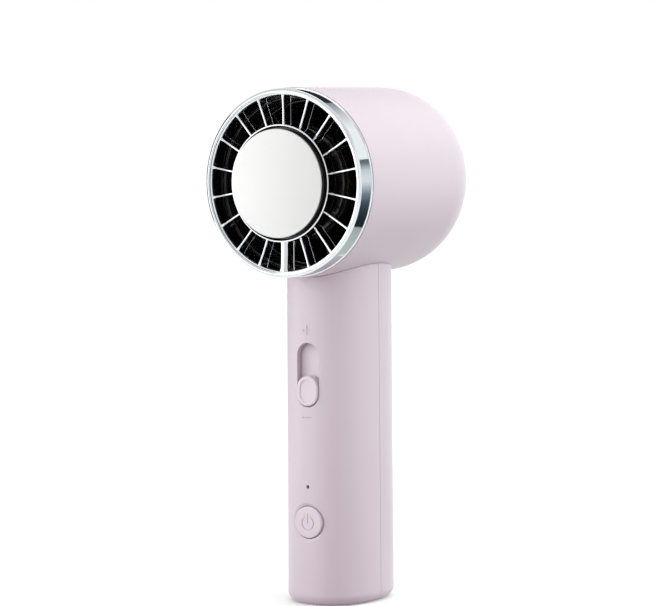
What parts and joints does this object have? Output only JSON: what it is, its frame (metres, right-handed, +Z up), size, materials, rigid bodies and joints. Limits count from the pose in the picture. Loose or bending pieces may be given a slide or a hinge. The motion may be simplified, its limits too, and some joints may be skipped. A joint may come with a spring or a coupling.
{
  "type": "handheld fan",
  "caption": "Handheld electric fan: a barrel head with a grille and a cooling plate in its middle, on an oval handle with a speed slider and a power button.",
  "frame": {"origin": "centre of the base pad's underside, on the surface that the fan stands on", "axes": "+Z up the handle, the fan blows towards -Y, +X to the right seen from the front"},
  "size_m": [0.0726, 0.0966, 0.2],
  "materials": {
    "pink_shell": "pale lavender-pink moulded plastic, fine satin grain",
    "pink_control": "the same pink, slightly smoother",
    "chrome_trim": "bright chrome plating on plastic",
    "plate_metal": "satin, slightly domed",
    "black_plastic": "black moulded plastic",
    "sink_metal": "black anodised",
    "thermal_pad": "grey silicone",
    "ceramic": "white ceramic, opaque",
    "steel": "plain",
    "magnet": "dark ring magnet",
    "lamination": "stacked sheet steel",
    "copper": "enamelled copper wire",
    "brass": "turned",
    "circuit_board": "green solder mask",
    "chip_black": "moulded package",
    "can_metal": "bright can",
    "cell_wrap": "blue film over a metal can",
    "nickel": "nickel strip",
    "lens_smoke": "dark clear light pipe",
    "chip_white": "white package",
    "lead_black": "insulated wire",
    "lead_red": "insulated wire",
    "rubber_foot": "soft matte foot"
  },
  "bodies": {
    "root": {"air_duct": "black_plastic", "base_pad": "rubber_foot", "battery_cell": "cell_wrap", "battery_cradle": "black_plastic", "battery_tab_high": "nickel", "battery_tab_low": "nickel", "bearing_front": "steel", "bearing_rear": "steel", "bearing_tube": "brass", "board_screw_1": "steel", "board_screw_2": "steel", "boost_coil": "chip_black", "cell_leads": "lead_red", "charge_chip": "chip_black", "cold_plate": "plate_metal", "control_chip": "chip_black", "cooling_module": "ceramic", "front_grille": "chrome_trim", "guide_vanes": "black_plastic", "handle_front_shell": "pink_shell", "handle_rear_shell": "pink_shell", "head_shell": "pink_shell", "heat_sink": "sink_metal", "hub_nose": "black_plastic", "indicator_chip": "chip_white", "indicator_lens": "lens_smoke", "main_board": "circuit_board", "motor_board": "circuit_board", "motor_leads": "lead_black", "neck_block": "black_plastic", "neck_bracket": "steel", "neck_screw_1": "steel", "neck_screw_2": "steel", "plate_carrier": "black_plastic", "plate_leads": "lead_red", "power_switch": "steel", "rear_grille": "pink_shell", "slider_track": "steel", "smoothing_capacitor": "can_metal", "socket_board": "circuit_board", "stator_core": "lamination", "stator_winding": "copper", "thermal_pad_cold": "thermal_pad", "thermal_pad_hot": "thermal_pad", "trim_ring": "chrome_trim", "usb_c_shell": "steel", "usb_c_tongue": "black_plastic"},
    "rotor": {"impeller": "black_plastic", "impeller_cap": "black_plastic", "rotor_bell": "steel", "rotor_magnet": "magnet", "motor_shaft": "steel"},
    "slider": {"slider_knob": "pink_control", "slider_shutter": "pink_control", "slider_wiper": "black_plastic"},
    "button": {"power_button": "pink_control", "switch_plunger": "black_plastic"}
  },
  "joints": [
    {"name": "rotor_spin", "type": "hinge", "parent": "root", "child": "rotor", "pos_m": [0, -0.0004, 0.16366], "axis": [0, 1, 0], "continuous": true},
    {"name": "speed_slide", "type": "slide", "parent": "root", "child": "slider", "axis": [0, 0, 1], "range_m": [0, 0.0124]},
    {"name": "power_press", "type": "slide", "parent": "root", "child": "button", "axis": [0, 1, 0], "range_m": [0, 0.0005], "stiffness_N_per_m": 600}
  ]
}
